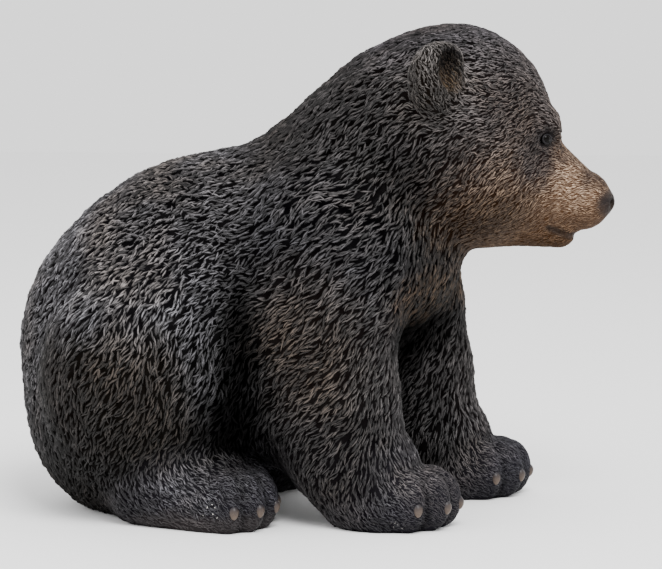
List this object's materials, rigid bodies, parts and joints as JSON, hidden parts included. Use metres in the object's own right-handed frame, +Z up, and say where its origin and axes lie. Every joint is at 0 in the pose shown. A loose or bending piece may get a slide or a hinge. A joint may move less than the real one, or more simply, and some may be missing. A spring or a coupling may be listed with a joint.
{
  "type": "bear cub figurine",
  "caption": "Seated bear cub figurine in dark furred resin, resting on its haunches with straight forelegs and its head lowered.",
  "frame": {"origin": "on the floor under the middle of the figurine's box", "axes": "+X the way the cub faces, +Y its left side, +Z up"},
  "size_m": [0.3458, 0.1812, 0.282],
  "materials": {
    "painted_resin": "matte"
  },
  "bodies": {
    "root": {"bear_cub": "painted_resin"}
  },
  "joints": []
}
